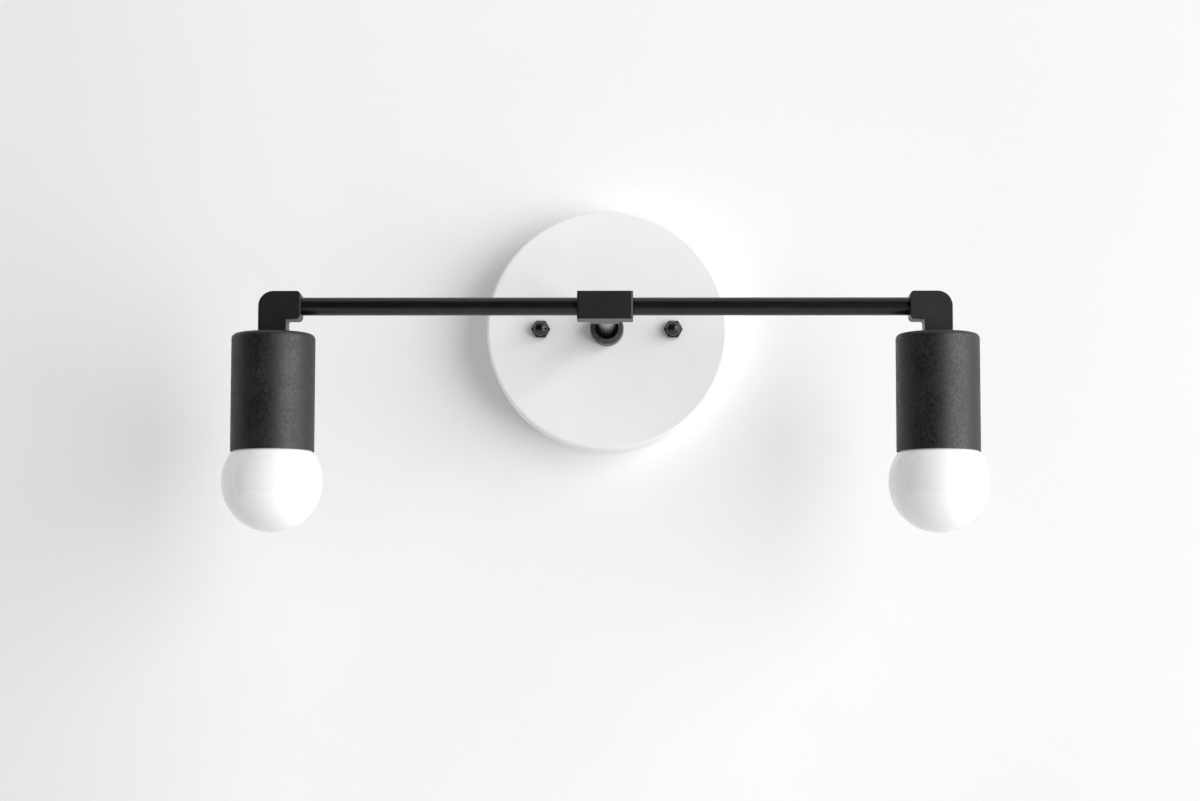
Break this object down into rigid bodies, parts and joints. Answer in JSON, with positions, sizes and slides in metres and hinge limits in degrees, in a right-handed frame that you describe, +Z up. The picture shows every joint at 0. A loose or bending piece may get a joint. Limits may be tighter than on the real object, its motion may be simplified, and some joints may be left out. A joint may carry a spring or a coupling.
{
  "type": "two-lamp bar wall light",
  "caption": "Hard-wired bar light: round canopy on the wall, short stem to a square tee, thin arms to square elbows, straight socket cups hanging down with screw-in globe bulbs",
  "frame": {"origin": "centre of the canopy's back, on the wall's surface, which is the centre of the two box-screw slots", "axes": "+X to the right along the arms for someone facing the wall, +Y into the wall, +Z up; the light stands out along -Y"},
  "size_m": [0.3796, 0.145, 0.1759],
  "materials": {
    "canopy_white": "satin white powder coat",
    "fitting_black": "satin black powder coat",
    "tube_black": "semi-gloss black enamel",
    "cup_charcoal": "fine-textured matte charcoal coat",
    "nut_black": "glossy black plating",
    "zinc_steel": "bright zinc plate",
    "brass": "plain brass",
    "nickel": "nickel plate",
    "ground_green": "green dyed zinc",
    "porcelain": "white glaze",
    "opal_glass": "opal white",
    "insulator_black": "black fused glass",
    "solder": "soft solder",
    "clear_glass": "clear",
    "filament_metal": "drawn wire",
    "wire_black": "insulation",
    "wire_white": "insulation",
    "wire_green": "insulation",
    "connector_orange": "moulded"
  },
  "bodies": {
    "fixture": {"canopy": "canopy_white", "canopy_crossbar": "zinc_steel", "canopy_studs": "zinc_steel", "stud_lock_nuts": "zinc_steel", "cap_nuts": "nut_black", "ground_screw": "ground_green", "ground_ring_terminal": "zinc_steel", "ground_wire": "wire_green", "stem_collar": "fitting_black", "stem": "tube_black", "stem_lock_washer": "zinc_steel", "stem_nut": "zinc_steel", "tee_fitting": "fitting_black", "wire_connectors": "connector_orange", "left_arm": "tube_black", "left_elbow": "fitting_black", "left_socket_cup": "cup_charcoal", "left_socket_nipple": "zinc_steel", "left_nipple_nuts": "zinc_steel", "left_socket_bracket": "zinc_steel", "left_bracket_screws": "zinc_steel", "left_socket_body": "porcelain", "left_screw_shell": "brass", "left_centre_contact": "brass", "left_hot_terminal_screw": "brass", "left_neutral_terminal_screw": "nickel", "left_hot_wire": "wire_black", "left_neutral_wire": "wire_white", "right_arm": "tube_black", "right_elbow": "fitting_black", "right_socket_cup": "cup_charcoal", "right_socket_nipple": "zinc_steel", "right_nipple_nuts": "zinc_steel", "right_socket_bracket": "zinc_steel", "right_bracket_screws": "zinc_steel", "right_socket_body": "porcelain", "right_screw_shell": "brass", "right_centre_contact": "brass", "right_hot_terminal_screw": "brass", "right_neutral_terminal_screw": "nickel", "right_hot_wire": "wire_black", "right_neutral_wire": "wire_white"},
    "left_bulb": {"left_bulb_globe": "opal_glass", "left_bulb_base_shell": "nickel", "left_bulb_insulator": "insulator_black", "left_bulb_contact": "solder", "left_bulb_mount": "clear_glass", "left_bulb_filament": "filament_metal"},
    "right_bulb": {"right_bulb_globe": "opal_glass", "right_bulb_base_shell": "nickel", "right_bulb_insulator": "insulator_black", "right_bulb_contact": "solder", "right_bulb_mount": "clear_glass", "right_bulb_filament": "filament_metal"}
  },
  "joints": [
    {"name": "left_bulb_unscrew", "type": "slide", "parent": "fixture", "child": "left_bulb", "axis": [0, 0, -1], "range_m": [0, 0.06]},
    {"name": "right_bulb_unscrew", "type": "slide", "parent": "fixture", "child": "right_bulb", "axis": [0, 0, -1], "range_m": [0, 0.06]}
  ]
}
